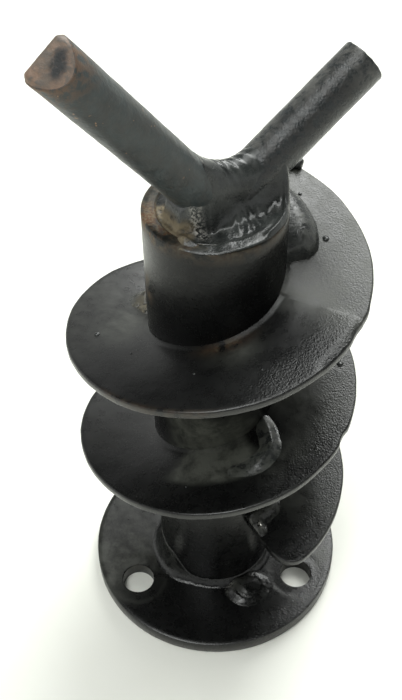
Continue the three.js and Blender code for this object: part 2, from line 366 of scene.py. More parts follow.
paint = black_paint("black_paint", roughness=0.27, orange_peel=0.035)
tube_paint = black_paint("tube_paint", roughness=0.27, orange_peel=0.05, specular=0.28)
# Lit and shaded copies of one weld metal: the first is painted lighter (painted light), the second painted
# darker (painted shade) for the welds round the tube's foot and at the flight's tail.
weld = weld_metal("weld_metal", painted_light_level=2.3)
weld_painted_shade = weld_metal("weld_metal_painted_shade", painted_light_level=0.35)
left_bar_finish = bar_paint("bar_paint_left", (0.031, 0.041, 0.042),
                            roughness=0.36, worn_away=0.3, pitted=0.06, chipped=1.0)
right_bar_finish = bar_paint("bar_paint_right", (0.017, 0.021, 0.022),
                             roughness=0.22, worn_away=0.95, pitted=0.2, chipped=0.0)
end_finish = bare_end("bar_end")


# ---------------------------------------------------------------- helical flight
def edge_radius(angle):
    """The flight's outer radius, with the wobble of a hand-cut edge."""
    at = polar(angle, 60, flight_height(angle))
    radius = FLIGHT_RADIUS - EDGE_TRIM + 0.3 * ripple(at, 18, 1) + 0.12 * ripple(at, 5, 2)
    # The sections don't quite line up at the upper seam, and the middle seam left a nick.
    radius += 0.5 * window(angle, UPPER_SEAM, UPPER_SEAM + 6, 4)
    radius -= 0.5 * window(angle, UPPER_SEAM - 6, UPPER_SEAM, 4)
    radius -= 0.9 * window(angle, MIDDLE_SEAM - 2, MIDDLE_SEAM + 1, 3)
    from_end = math.radians(angle - FLIGHT_TAIL_ANGLE) * FLIGHT_RADIUS
    inside = max(0.0, TAIL_CORNER - from_end)
    corner = TAIL_CORNER - math.sqrt(max(0.0, TAIL_CORNER ** 2 - inside ** 2))
    return radius - corner


def face_wave(angle, radius):
    """Height of the flight's face above a true helicoid: wavy, bent at the upper seam,
    and rolled over at the outer edge just past it."""
    at = polar(angle, radius, flight_height(angle))
    middle = (FLIGHT_RADIUS + TUBE_RADIUS) / 2
    wave = 0.28 * ripple(at, 34, 3) + 0.10 * ripple(at, 12, 4)
    kink = 1 - 2 * ramp(angle, UPPER_SEAM - 1.8, UPPER_SEAM + 1.8)
    wave += kink * window(angle, UPPER_SEAM - 12, 20, 28) * 0.032 * (radius - middle)
    rolled = window(angle, *ROLLED_EDGE, 4) * ramp(radius, FLIGHT_RADIUS - 5, FLIGHT_RADIUS - 0.5)
    return wave - rolled


def flight_ring(angle, across=26):
    """The flight's section at an angle, as [radius, height above the helicoid] pairs."""
    outer = edge_radius(angle)
    inner = TUBE_RADIUS - 1.5
    corner = EDGE_ROUND
    ring = []
    for i in range(across + 1):
        radius = inner + (outer - corner - inner) * i / across
        lift = 0.7 * ramp(radius, TUBE_RADIUS + 1.4, TUBE_RADIUS - 0.3)
        ring.append((radius, face_wave(angle, radius) + lift))
    top = face_wave(angle, outer)
    for i in range(1, 5):
        turn = math.radians(22.5 * i)
        ring.append((outer - corner + corner * math.sin(turn), top - corner + corner * math.cos(turn)))
    bottom = top - FLIGHT_THICKNESS
    for i in range(5):
        turn = math.radians(22.5 * i)
        ring.append((outer - corner + corner * math.cos(turn), bottom + corner - corner * math.sin(turn)))
    for i in range(1, across + 1):
        radius = outer - corner - (outer - corner - inner) * i / across
        ring.append((radius, face_wave(angle, radius) - FLIGHT_THICKNESS))
    return ring


def flight_masks(angle, radius):
    """Dust, rust and grain on the flight. Dust lies on the left, behind the tube on the right
    and round the curved weld bead; on the left and right sides it is partly painted sheen.
    Brushed grain shows on the right, towards the edge."""
    turn = (angle + 360) % 360 - 360 if angle < 0 else angle
    edge = ramp(radius, FLIGHT_RADIUS - 2.5, FLIGHT_RADIUS - 0.7)
    outer = ramp(radius, 44, 60)
    right = window(turn, -60, 20, 25) if turn > -180 else window(turn, -360, -340, 25)
    grain = outer * right
    if angle > UPPER_SEAM:
        grain = max(0.75 * outer, 0.4 * ramp(angle, UPPER_SEAM, UPPER_SEAM + 20))
    dust_and_sheen = 0.012
    # On the left and behind the tube on the right this lighter film is partly dust and partly painted sheen.
    dust_and_sheen += 0.2 * window(turn, -235, -170, 30)
    dust_and_sheen += 0.55 * (window(turn, -10, 60, 30) if turn > -180 else window(turn, -360, -300, 30))
    dust_and_sheen *= 1 - 0.45 * ramp(angle, -280, -330)
    rust = 0.0
    if -240 < angle < UPPER_SEAM:
        dust_and_sheen += 0.3 * lump(angle, radius, -176, 40, 20, 8)
        dust_and_sheen += 0.4 * lump(angle, radius, -72, 39, 14, 5)
        rust += 0.35 * lump(angle, radius, -78, 33, 16, 3)
        rust += edge * window(angle, -125, -92, 12) * 0.14
        dust_and_sheen += edge * window(angle, -92, -50, 12) * 0.05
    if -540 < angle < -380:
        dust_and_sheen += 1.0 * window(angle, -466, -424, 10) * window(radius, 31, 47, 5)
        dust_and_sheen += 0.3 * lump(angle, radius, -405, 52, 16, 8)
        dust_and_sheen += edge * window(angle, -500, -420, 30) * 0.08
    return min(1.0, dust_and_sheen), min(1.0, rust), min(1.0, grain)


def flight_piece(name, start, stop, step, replaced):
    """A stretch of the flight between two angles, closed at both ends."""
    steps = max(2, round((start - stop) / step))
    rings, masks = [], []
    for i in range(steps + 1):
        angle = start + (stop - start) * i / steps
        ring = []
        for radius, height in flight_ring(angle):
            ring.append(polar(angle, radius, flight_height(angle) + height))
            masks.append(flight_masks(angle, radius))
        rings.append(ring)
    dust_and_sheen, rust, grain = (list(values) for values in zip(*masks))
    named = (("dust_and_sheen", dust_and_sheen), ("rust", rust), ("grain", grain), ("bare", [0.0] * len(dust_and_sheen)))
    return make(name, loft(rings), paint, replaced, masks=named)


# [section, angle where it starts, angle where it stops, angle between its rings].
SECTIONS = (("top_section", FLIGHT_TOP_ANGLE, UPPER_SEAM + SEAM_HALF, 1.2),
            ("upper_turn", UPPER_SEAM - SEAM_HALF, MIDDLE_SEAM + SEAM_HALF, 1.5),
            ("lower_turn", MIDDLE_SEAM - SEAM_HALF, LOWER_SEAM + SEAM_HALF, 1.5),
            ("tail_section", LOWER_SEAM - SEAM_HALF, FLIGHT_TAIL_ANGLE + 0.01, 0.8))
for section, start, stop, step in SECTIONS:
    flight_piece("flight_%s_skin" % section, start, stop, step, ["flight_%s" % section])
for level, seam in (("upper", UPPER_SEAM), ("middle", MIDDLE_SEAM), ("lower", LOWER_SEAM)):
    flight_piece("flight_seam_weld_%s_skin" % level, seam + SEAM_HALF, seam - SEAM_HALF, 0.45,
                 ["flight_seam_weld_%s" % level])


# ---------------------------------------------------------------- hub tube and plug
def turned(profile, segments, wobble):
    """A body turned about +Z from [radius, height] pairs that close on themselves."""
    rings = []
    for i in range(segments):
        ring = []
        for radius, height in profile:
            at = polar(360 * i / segments, radius, height)
            push = 1 + wobble * ripple(at, 11, 5) / max(radius, 1)
            ring.append(Vector((at.x * push, at.y * push, at.z)))
        rings.append(ring)
    return loft(rings, wrap=True)


def nothing(point):
    return 0.0


def flat_masks(points, dust_and_sheen=lambda p: 0.1, rust=nothing, grain=nothing, bare=nothing):
    """Mask values for the points, each mask from its own rule."""
    rules = (("dust_and_sheen", dust_and_sheen), ("rust", rust), ("grain", grain), ("bare", bare))
    return tuple((name, [float(rule(p)) for p in points]) for name, rule in rules)


def angle_of(point):
    return math.degrees(math.atan2(point.y, point.x))


def radius_of(point):
    return math.hypot(point.x, point.y)


def tube_profile():
    """The tube's wall as [radius, height] pairs, with a rounded, worn rim."""
    levels = [FLANGE_TOP + (TUBE_TOP - 1.2 - FLANGE_TOP) * i / 40 for i in range(41)]
    wall = [(BORE_RADIUS, FLANGE_TOP)] + [(TUBE_RADIUS - 0.05, z) for z in levels]
    return wall + [(TUBE_RADIUS - 0.35, TUBE_TOP - 0.45), (TUBE_RADIUS - 0.95, TUBE_TOP),
                   (TUBE_RADIUS - 3.2, TUBE_TOP + 0.05), (BORE_RADIUS + 0.8, TUBE_TOP),
                   (BORE_RADIUS, TUBE_TOP - 0.9), (BORE_RADIUS, TUBE_TOP - 8)]


def tube_dust(point):
    rim = 0.5 * ramp(point.z, TUBE_TOP - 2, TUBE_TOP)
    left = 0.35 * window(angle_of(point) % 360, 170, 200, 20) * ramp(point.z, 200, 240)
    front = 0.9 * window(angle_of(point), -115, -60, 25) * window(point.z, 118, 145, 8)
    return rim + left + front


def tube_rust(point):
    spot = 0.8 * lump(angle_of(point), point.z, -155, 213, 6, 6)
    rim = 0.25 * ramp(point.z, TUBE_TOP - 6, TUBE_TOP)
    left = 0.6 * window(angle_of(point) % 360, 190, 225, 15) * ramp(point.z, TUBE_TOP - 10, TUBE_TOP - 1)
    return spot + rim + left


shape = turned(tube_profile(), 180, 0.12)
make("hub_tube_skin", shape, tube_paint, ["hub_tube"],
     masks=flat_masks(shape[0], dust_and_sheen=tube_dust, rust=tube_rust))


def cap_shape(radius, bottom, top, wave):
    """A disc whose upper face follows wave(x, y)."""
    around, inward = 72, 20
    rings = []
    for level, z in ((radius, bottom), (radius, top)):
        rings.append([polar(360 * j / around, level, z) for j in range(around)])
    for i in range(inward, 0, -1):
        ring = []
        for j in range(around):
            at = polar(360 * j / around, radius * i / inward * 0.99)
            ring.append(Vector((at.x, at.y, top + wave(at.x, at.y))))
        rings.append(ring)
    return loft(rings)


shape = cap_shape(BORE_RADIUS - 0.05, PLUG_TOP - 6, PLUG_TOP,
                  lambda x, y: 0.25 * noise.noise(Vector((x, y, 0)) / 5))
make("tube_end_plug_skin", shape, tube_paint, ["tube_end_plug"],
     masks=flat_masks(shape[0], dust_and_sheen=lambda p: 0.75))


# ---------------------------------------------------------------- flange
def nearest_bolt(point):
    """Distance to the nearest bolt hole's centre, seen from above."""
    return min((point.xy - polar(a, BOLT_CIRCLE).xy).length for a in BOLT_ANGLES)


def plate_wave(point):
    """The upper face's wave, with a shallow print of a washer round each bolt hole."""
    flat = Vector((point.x, point.y, 0))
    wave = 0.16 * ripple(flat, 26, 7) + 0.05 * ripple(flat, 7, 8)
    wave -= 0.22 * ramp(nearest_bolt(point), WASHER_MARK, WASHER_MARK - 1.0)
    return min(wave, 0.12)


def flange_shape():
    """Cut plate with a rounded, slightly uneven rim and a wavy upper face."""
    around, inward = 240, 34
    corner = 0.9
    rim = FLANGE_RADIUS - 0.1
    profile = [(rim - corner, 0.0), (rim - 0.25, 0.25), (rim, corner), (rim, FLANGE_TOP - corner),
               (rim - 0.27, FLANGE_TOP - 0.27), (rim - corner, FLANGE_TOP)]
    rings = []
    for radius, z in profile:
        ring = []
        for j in range(around):
            at = polar(360 * j / around, radius, z)
            push = 1 + 0.0022 * ripple(at, 22, 6)
            ring.append(Vector((at.x * push, at.y * push, z)))
        rings.append(ring)
    for i in range(1, inward):
        radius = (rim - corner) * (1 - i / inward)
        ring = []
        for j in range(around):
            at = polar(360 * j / around, radius, FLANGE_TOP)
            at.z += plate_wave(at)
            ring.append(at)
        rings.append(ring)
    return loft(rings)


def cut_bolt_hole(plate, number, angle):
    """Cuts a bolt hole, flared at its top, out of the plate."""
    centre = polar(angle, BOLT_CIRCLE)
    profile = ((HOLE_RADIUS, -3.0), (HOLE_RADIUS, FLANGE_TOP - 0.7),
               (HOLE_RADIUS + 0.25, FLANGE_TOP - 0.25), (HOLE_RADIUS + 1.0, FLANGE_TOP + 0.5),
               (HOLE_RADIUS + 1.0, FLANGE_TOP + 3.0))
    rings = [[centre + polar(7.5 * j, radius, z) for j in range(48)] for radius, z in profile]
    mesh = mesh_of("bolt_hole_cutter", loft(rings))
    cutter = bpy.data.objects.new("bolt_hole_cutter_%d" % number, mesh)
    scene.collection.objects.link(cutter)
    boolean = plate.modifiers.new("bolt_hole", "BOOLEAN")
    boolean.operation = "DIFFERENCE"
    boolean.solver = "EXACT"
    boolean.object = cutter
    bpy.context.view_layer.objects.active = plate
    bpy.ops.object.modifier_apply(modifier="bolt_hole")
    bpy.data.objects.remove(cutter)


def flange_dust(point):
    turn = angle_of(point) % 360
    left = 0.2 * window(turn, 180, 210, 14)
    back = 0.3 * window(turn, 30, 210, 25)
    washers = 0.15 * window(nearest_bolt(point), WASHER_MARK - 0.6, WASHER_MARK + 0.4, 1.0)
    right = 0.9 * lump(angle_of(point), radius_of(point), -7, 61, 7, 4)
    return 0.01 + left + back + washers + right


def flange_rust(point):
    return 0.06 * ramp(point.z, FLANGE_TOP - 1, 0.5)


def flange_grain(point):
    return window(angle_of(point), -60, 10, 20) * ramp(radius_of(point), 50, 62)


shape = flange_shape()
flange = make("flange_plate_skin", shape, paint, ["flange_plate"],
              masks=flat_masks(shape[0], flange_dust, flange_rust, flange_grain))
for number, angle in enumerate(BOLT_ANGLES):
    cut_bolt_hole(flange, number, angle)


# ---------------------------------------------------------------- deposits laid on a face
# A deposit's skin ends SUNK under the face, and its underside lies DEPOSIT_DEPTH lower.
SUNK = -0.9
DEPOSIT_DEPTH = 0.6


def deposit(name, spans, counts, ground, height, replaced, masks, finish=None):
    """A weld deposit: height(a, b) over the surface ground(a, b), cut off where it has sunk
    all the way into the surface."""
    (a_low, a_high), (b_low, b_high) = spans
    a_count, b_count = counts
    width = b_count + 1
    top, rises = [], []
    for i in range(a_count + 1):
        a = a_low + (a_high - a_low) * i / a_count
        for j in range(width):
            b = b_low + (b_high - b_low) * j / b_count
            rises.append(max(height(a, b), SUNK))
            top.append(ground(a, b))
    cells = []
    for i in range(a_count):
        for j in range(b_count):
            k = i * width + j
            corners = (k, k + 1, k + width + 1, k + width)
            if max(rises[c] for c in corners) > SUNK:
                cells.append(corners)
    used = sorted({c for corners in cells for c in corners})
    index = {k: n for n, k in enumerate(used)}
    points = [top[k] + Vector((0, 0, rises[k])) for k in used]
    points += [top[k] + Vector((0, 0, SUNK - DEPOSIT_DEPTH)) for k in used]
    under = len(used)
    faces, edges = [], {}
    for corners in cells:
        ring = [index[c] for c in corners]
        faces.append(tuple(ring))
        faces.append(tuple(under + k for k in reversed(ring)))
        for here, after in zip(ring, ring[1:] + ring[:1]):
            if (after, here) in edges:
                del edges[(after, here)]
            else:
                edges[(here, after)] = True
    for here, after in edges:
        faces.append((after, here, under + here, under + after))
    return make(name, (points, faces), finish or weld, replaced, sharp=60,
                masks=flat_masks(points, **masks))


def on_flight(angle, radius):
    return polar(angle, radius, flight_height(angle) + face_wave(angle, radius))


def on_flange(angle, radius):
    return polar(angle, radius, FLANGE_TOP)


def rough(angle, radius, height, size, amount, seed):
    """Two sizes of noise, for the skin of a weld."""
    at = polar(angle, radius, height)
    return amount * ripple(at, size, seed) + 0.4 * amount * ripple(at, size / 2.4, seed + 1)


# Outline of the big deposit: [angle on the flight, outer radius].
LOBE_OUTLINE = ((2, 29), (5.2, 31), (7.4, 36.2), (8.5, 40.5), (13.5, 44.5), (19.6, 46.3),
                (27, 47.8), (36, 48.5), (45, 49.2), (51.5, 48.5), (56, 44), (60, 36), (64, 29))
LOBE_START, LOBE_STOP = 3, 66
LOBE_HEIGHT = 10.2
LOBE_SHOULDER = 11.0


def lobe_height(angle, radius):
    """A rounded cushion: steep at its edge, flat on top."""
    inside = between(LOBE_OUTLINE, angle, 1) - radius
    if inside < -1.5:
        return -1.0
    depth = min(inside, (angle - LOBE_START) * 0.66, (LOBE_STOP - angle) * 0.6)
    rise = -1.0
    if depth > 0:
        part = min(depth, LOBE_SHOULDER) / LOBE_SHOULDER
        rise = LOBE_HEIGHT * math.sqrt(max(0.0, 1 - (1 - part) ** 2))
    skin = rough(angle, radius, 200, 5, 0.12, 11) + 0.35 * ripple(polar(angle, radius), 12, 12)
    return rise + skin * min(1.0, max(depth, 0) / 2)


# The lighter patch near 24 degrees and radius 40 on the lobe's top is a painted highlight, laid in the dust
# mask.
deposit("upper_weld_lobe_skin", ((0, LOBE_STOP), (TUBE_RADIUS - 1.2, 51)), (130, 60), on_flight, lobe_height,
        ["upper_weld_lobe"], {"dust_and_sheen": lambda p: 0.15 + 0.5 * lump(angle_of(p), radius_of(p), 24, 40, 10, 4)})


def clump(hills, level, size, seed):
    """The height function of weld dropped in a few hills. The level places its roughness."""
    def height(angle, radius):
        rise = sum(tall * lump(angle, radius, *hill) for tall, *hill in hills)
        return rise - 1.0 + rough(angle, radius, level, size, 0.5, seed) * min(1.0, rise / 2)
    return height


# Hills: [height, angle, radius, half width in degrees, half width in radius].
DOLLOP_HILLS = ((7.2, -208, 38.5, 8, 5.5), (4.5, -214, 33, 7, 4.5), (2.5, -198, 33, 6, 3.5))
TAIL_HILLS = ((6.5, -766, 33, 13, 5.5), (3.2, -752, 35, 7, 5), (2.4, -771, 41, 4, 3.4))
deposit("side_weld_dollop_skin", ((-232, -186), (TUBE_RADIUS - 1.2, 50)), (92, 50), on_flight,
        clump(DOLLOP_HILLS, 180, 2.6, 21), ["side_weld_dollop"],
        {"dust_and_sheen": lambda p: 0.4, "rust": lambda p: 0.4 * lump(radius_of(p), p.z, 36, 178, 5, 6)})
# The tail fill uses the weld painted darker: painted shade.
deposit("tail_weld_fill_skin", ((-773.2, -735), (TUBE_RADIUS - 1.2, 50)), (96, 50), on_flight,
        clump(TAIL_HILLS, 60, 3.2, 31), ["tail_weld_fill"],
        {"dust_and_sheen": lambda p: 0.3,
         "bare": lambda p: 0.9 * lump(angle_of(p), radius_of(p), -49.5, 39, 1.0, 1.6)}, weld_painted_shade)


def fillet_toe(angle):
    """How high the flange fillet climbs the tube."""
    turn = angle % 360
    climb = 4.5 + 11.0 * window(turn, 195, 222, 30)
    climb += 3.0 * window(turn, 30, 160, 30)
    return climb


def fillet_height(angle, radius):
    """A hollow fillet, steep against the tube and running out over the plate."""
    out = radius - TUBE_RADIUS
    toe = fillet_toe(angle)
    width = 7.5 + 2.5 * window(angle % 360, 190, 235, 25)
    rise = toe * max(0.0, 1 - max(out, 0.0) / width) ** 4 - 0.4
    return rise + rough(angle, radius, 10, 3.2, 0.35, 41) * ramp(rise, 0.0, 2.0)


# The flange fillet uses the weld painted darker: painted shade.
deposit("flange_weld_skin", ((0, 360), (TUBE_RADIUS - 0.6, TUBE_RADIUS + 11)), (360, 36), on_flange,
        fillet_height, ["flange_weld"],
        {"dust_and_sheen": lambda p: 0.10 * window(angle_of(p), -170, -130, 20)}, weld_painted_shade)


MOUND_CENTRE = polar(-56, 38.5)
MOUND_RADIUS = 12.5


def mound_height(angle, radius):
    """A low swirl of weld: a rim round a dip, higher where it joins the tube."""
    at = polar(angle, radius)
    away = (at - MOUND_CENTRE).length
    turn = math.atan2(at.y - MOUND_CENTRE.y, at.x - MOUND_CENTRE.x)
    outline = MOUND_RADIUS + 1.2 * math.sin(2 * turn + 0.6) + 0.8 * math.sin(turn)
    swirl = away / outline + 0.08 * ripple(at, 9, 52)
    if swirl > 1.25:
        return SUNK
    rim = math.exp(-((swirl - 0.6) / 0.3) ** 2) * (1.7 + 1.2 * math.cos(turn - 2.3))
    arc = 0.16 * math.sin(swirl * 16 + turn) * ramp(swirl, 0.3, 0.6)
    rise = rim + arc + 1.1 * max(0.0, 1 - swirl) - 1.0 * ramp(swirl, 0.75, 1.25)
    return rise + rough(angle, radius, 5, 4.5, 0.12, 51) * ramp(swirl, 1.2, 0.9)


# The mound uses the weld painted darker: painted shade.
deposit("flange_weld_mound_skin", ((-88, -26), (TUBE_RADIUS - 1, 55)), (120, 64), on_flange,
        mound_height, ["flange_weld_mound"],
        {"dust_and_sheen": lambda p: 0.05 + 0.5 * lump(angle_of(p), radius_of(p), -70, 34, 8, 6),
         "bare": lambda p: 0.6 * lump(angle_of(p), radius_of(p), -72, 31.5, 4.5, 2.2)}, weld_painted_shade)


def root_ring(angle):
    """Fillet under the flight, with uneven legs."""
    at = polar(angle, TUBE_RADIUS, flight_height(angle))
    leg = 3.6 + 0.8 * ripple(at, 9, 61)
    top = flight_height(angle) - FLIGHT_THICKNESS + 0.3
    corners = ((-0.8, 0.0), (-0.8, -leg - 0.4), (0.25, -leg), (leg * 0.36, -leg * 0.42),
               (leg, -0.1), (leg + 0.2, 0.4))
    return [polar(angle, TUBE_RADIUS + out, top + up) for out, up in corners]


ROOT_STEP, ROOT_RINGS = 2.0, 424
shape = loft([root_ring(FLIGHT_TOP_ANGLE - 0.5 - ROOT_STEP * i) for i in range(ROOT_RINGS)])
make("flight_root_weld_skin", shape, weld, ["flight_root_weld"], sharp=60,
     masks=flat_masks(shape[0]))


# ---------------------------------------------------------------- bead, tack and spatter
def smooth_route(knots, per_span):
    """Points of a Catmull-Rom curve through the knots."""
    padded = [knots[0] * 2 - knots[1]] + knots + [knots[-1] * 2 - knots[-2]]
    route = []
    for i in range(1, len(padded) - 2):
        a, b, c, d = padded[i - 1:i + 3]
        for k in range(per_span):
            t = k / per_span
            route.append(0.5 * (2 * b + (c - a) * t + (2 * a - 5 * b + 4 * c - d) * t * t
                                + (3 * b - a - 3 * c + d) * t ** 3))
    return route + [knots[-1].copy()]


# The bead's ridge, from the tube outwards: [angle on the flight, radius].
BEAD_KNOTS = ((-397, 28), (-400, 31), (-403, 35.7), (-407, 40.5), (-410, 43.8), (-415, 45.7),
              (-421, 46.9), (-427, 47), (-434, 45.9))
BEAD_ROUTE = smooth_route([polar(a, r) for a, r in BEAD_KNOTS], 6)


def bead_height(angle, radius):
    """A smooth ridge that curls out from the tube and fades at its far end."""
    at = polar(angle, radius)
    gaps = [(at - knot).length for knot in BEAD_ROUTE]
    gap = min(gaps)
    along = gaps.index(gap) / (len(gaps) - 1)
    tall = 3.6 * (0.5 + 0.5 * ramp(along, 0.0, 0.3)) * (1 - 0.8 * ramp(along, 0.6, 1.0))
    wide = 2.8 + 0.8 * along
    rise = tall * math.exp(-(gap / wide) ** 2) - 0.3 - 0.7 * ramp(gap, 5, 8)
    return rise + rough(angle, radius, 130, 3.5, 0.16, 71) * ramp(rise, 0.2, 1.5)


deposit("middle_weld_bead_skin", ((-450, -390), (TUBE_RADIUS - 1.2, 55)), (110, 60), on_flight,
        bead_height, ["middle_weld_bead"], {"dust_and_sheen": lambda p: 0.6})


def pebble(centre, size, seed, lean=0.0, lumpy=0.18):
    """An uneven rounded grain: points and faces."""
    ball = bmesh.new()
    bmesh.ops.create_icosphere(ball, subdivisions=3, radius=1.0)
    turn = Matrix.Rotation(math.radians(lean), 3, "Z")
    points = []
    for vertex in ball.verts:
        swell = 1 + lumpy * ripple(vertex.co, 0.8, seed)
        scaled = Vector((vertex.co.x * size[0], vertex.co.y * size[1], vertex.co.z * size[2])) * swell
        points.append(centre + turn @ scaled)
    faces = [tuple(v.index for v in face.verts) for face in ball.faces]
    ball.free()
    return points, faces


def join_shapes(shapes):
    points, faces = [], []
    for some_points, some_faces in shapes:
        start = len(points)
        points += some_points
        faces += [tuple(start + k for k in face) for face in some_faces]
    return points, faces


shape = join_shapes([pebble(on_flight(60, 66.2) + Vector((0, 0, 1.8)), (2.9, 2.5, 2.8), 81, 59, 0.3),
                     pebble(on_flight(63.5, 63.0) + Vector((0, 0, 1.0)), (3.6, 2.2, 2.0), 82, 140, 0.3)])
make("edge_tack_weld_skin", shape, weld, ["edge_tack_weld"], sharp=70,
     masks=flat_masks(shape[0]))

# Drops of weld on the flight: [angle, radius, size].
DROPS = ((20.4, 49.6, 1.5), (49.4, 53.0, 0.9), (-165.6, 53.0, 1.3), (-349.3, 60.0, 1.5),
         (-140, 44, 0.5), (-96, 46, 0.6), (-64, 52, 0.5), (-300, 50, 0.7), (-460, 52, 0.6),
         (-250, 58, 0.6))
shape = join_shapes([pebble(on_flight(a, r) + Vector((0, 0, 0.1)), (size, size, size * 0.6), 90 + k)
                     for k, (a, r, size) in enumerate(DROPS)])
make("spatter", shape, weld, sharp=70, masks=flat_masks(shape[0]))


# ---------------------------------------------------------------- prongs
def prong_axes(prong):
    """Unit vectors along a bar, sideways out of the prongs' plane, and square to both."""
    direction = polar(prong["angle"], math.cos(math.radians(prong["rise"])),
                      math.sin(math.radians(prong["rise"])))
    side = polar(prong["angle"] + 90, 1.0)
    return direction, side, direction.cross(side)


def prong_foot(prong):
    return Vector((0, 0, TUBE_TOP + prong["base"]))


def bar_waver(point):
    """How far the bar's skin stands off a true cylinder."""
    return 0.10 * ripple(point, 12, 101) + 0.07 * ripple(point, 3.5, 102)


# Points round a bar and rings along it. Its end has an edge rounded over the length END_EDGE and
# a face that reaches out to END_FACE of its radius.
BAR_AROUND, BAR_ALONG = 96, 90
END_FACE = 0.955
END_EDGE = 0.75
END_RINGS = 16


def prong_shape(prong, end_of):
    """A round bar closed by an end of its own form: end_of(side, up) is the bar's length there."""
    direction, side, up = prong_axes(prong)
    foot = prong_foot(prong)
    start = prong["buried"]
    turns = [2 * math.pi * j / BAR_AROUND for j in range(BAR_AROUND)]
    stops = [end_of(BAR_RADIUS * math.cos(turn), BAR_RADIUS * math.sin(turn)) for turn in turns]

    def at(turn, scale, length):
        reach = BAR_RADIUS * scale
        return foot + direction * length + side * reach * math.cos(turn) + up * reach * math.sin(turn)

    rings = []
    for i in range(BAR_ALONG + 1):
        part = i / BAR_ALONG
        ring = []
        for turn, stop in zip(turns, stops):
            length = start + (stop - END_EDGE - start) * part
            push = bar_waver(at(turn, 1.0, length)) * ramp(part, 0.0, 0.1)
            ring.append(at(turn, 1.0 + push / BAR_RADIUS, length))
        rings.append(ring)
    for scale, drop in ((0.985, 0.28), (END_FACE, 0.06)):
        rings.append([at(turn, scale, stop - drop) for turn, stop in zip(turns, stops)])
    for i in range(1, END_RINGS):
        scale = END_FACE * (1 - i / END_RINGS)
        ring = []
        for turn in turns:
            reach = BAR_RADIUS * scale
            length = end_of(reach * math.cos(turn) / END_FACE, reach * math.sin(turn) / END_FACE)
            ring.append(at(turn, scale, length))
        rings.append(ring)
    return loft(rings)


def roof_end(side, up):
    """Two faces sloping away from a blunt ridge that lies in the prongs' plane."""
    slope = math.tan(math.radians(CHISEL_ANGLE))
    drop = slope * (math.sqrt(side * side + 1.2) - 1.1)
    rounding = 0.42 * max(0.0, abs(up) - 7.6) ** 2
    return LEFT["length"] - drop - rounding + 0.12 * noise.noise(Vector((side, up, 4)) / 3)


def square_end(side, up):
    """A saw-cut end with one side ground off."""
    bevel = max(0.0, -up - 6.8) * 0.9
    return RIGHT["length"] - bevel + 0.25 * noise.noise(Vector((side, up, 9)) / 3)


def left_dust(upper, from_end):
    return 0.35 * upper


def right_dust(upper, from_end):
    return min(1.0, upper + 0.7 * ramp(from_end, 16, 3))


def left_rust(from_end):
    return 0.6 * ramp(from_end, 22, 1) + 0.04


def right_rust(from_end):
    return 0.03


def build_prong(name, prong, end_of, finish, dust_of, rust_of):
    """A bar with its masks: wear on its upper side, rust near its end, a dark patch on its end."""
    direction, side, up = prong_axes(prong)
    shape = prong_shape(prong, end_of)
    rust, dark, dust_and_sheen = [], [], []
    for point in shape[0]:
        away = point - prong_foot(prong)
        across, above = away.dot(side), away.dot(up)
        from_end = prong["length"] - away.dot(direction)
        facing = ramp(across * 0.8 + above * 0.6, 0.25 * BAR_RADIUS, 0.75 * BAR_RADIUS)
        rust.append(rust_of(from_end))
        dark.append(ramp(lump(across + 0.25 * above, above, 5.4, 1.6, 2.6, 6.0), 0.25, 0.75))
        dust_and_sheen.append(dust_of(0.12 + 0.88 * facing, from_end))
    return make(name + "_skin", shape, finish, [name], sharp=30,
                masks=(("rust", rust), ("dark", dark), ("dust_and_sheen", dust_and_sheen)))


left_bar = build_prong("prong_left", LEFT, roof_end, left_bar_finish, left_dust, left_rust)
left_bar.data.materials.append(end_finish)
for polygon in left_bar.data.polygons:
    if min(polygon.vertices) >= (BAR_ALONG + 2) * BAR_AROUND:
        polygon.material_index = 1
build_prong("prong_right", RIGHT, square_end, right_bar_finish, right_dust, right_rust)


# ---------------------------------------------------------------- weld at the prongs' feet
def prong_top(prong, along, across):
    """Height of a prong's upper side over a point of the plan, above the tube's rim."""
    rise = math.radians(prong["rise"])
    half = math.sqrt(max(0.0, BAR_RADIUS ** 2 - across ** 2)) / math.cos(rise)
    return prong["base"] + math.tan(rise) * along + half


# The weld's upper edge on the camera side of the prongs, by distance along their plane:
# [along, height above the rim, distance from the plane, distance where it has run out].
WELD_CREST = ((-22, -2.6, 5.0, 8.0), (-19.5, 8.0, 5.5, 8.5), (-16, 12.0, 8.0, 10.5),
              (-11, 14.0, 9.3, 12.0), (-7, 16.0, 9.3, 13.5), (-2, 14.2, 8.8, 15.0),
              (3, 12.0, 7.5, 15.5), (8, 11.2, 6.6, 15.5), (17, 13.8, 7.9, 16.0),
              (25, 15.6, 9.2, 17.5), (30, 14.6, 9.2, 19.0))
POOL_LEVEL = -2.6


def web_rise(along, across):
    """Web in the crotch between the bars, by distance along their plane and across it."""
    left_top = prong_top(LEFT, -along, across * 1.06)
    right_top = prong_top(RIGHT, along, across * 1.06)
    rise = smooth_max(left_top, right_top, 36) - 0.4
    rise -= 3.0 * max(0.0, abs(across) - 8.6) ** 1.2 + 60 * ramp(along, -9, -12) + 60 * ramp(along, 20, 26)
    return rise + 0.2 * window(along, 1, 21, 3) * math.sin(2 * math.pi * (along + 0.5 * across) / 4.2)


def sheet_rise(along, side, radius):
    """Collar at the left bar's foot, and the sheet that sweeps down from the right bar."""
    top, start, stop = (between(WELD_CREST, along, column) for column in (1, 2, 3))
    fall = max(0.0, 1 - max(0.0, side - start) / (stop - start))
    edge = ramp(radius, 25.5, 29.5) * ramp(along, 4, 14)
    return (top - POOL_LEVEL) * (fall ** 1.7 * (1 - edge) + fall * edge) + POOL_LEVEL


def scallops(angle, radius):
    """Where the pool has frozen in scallops."""
    return window(angle, -52, -4, 8) * window(radius, 13.5, 21, 3)


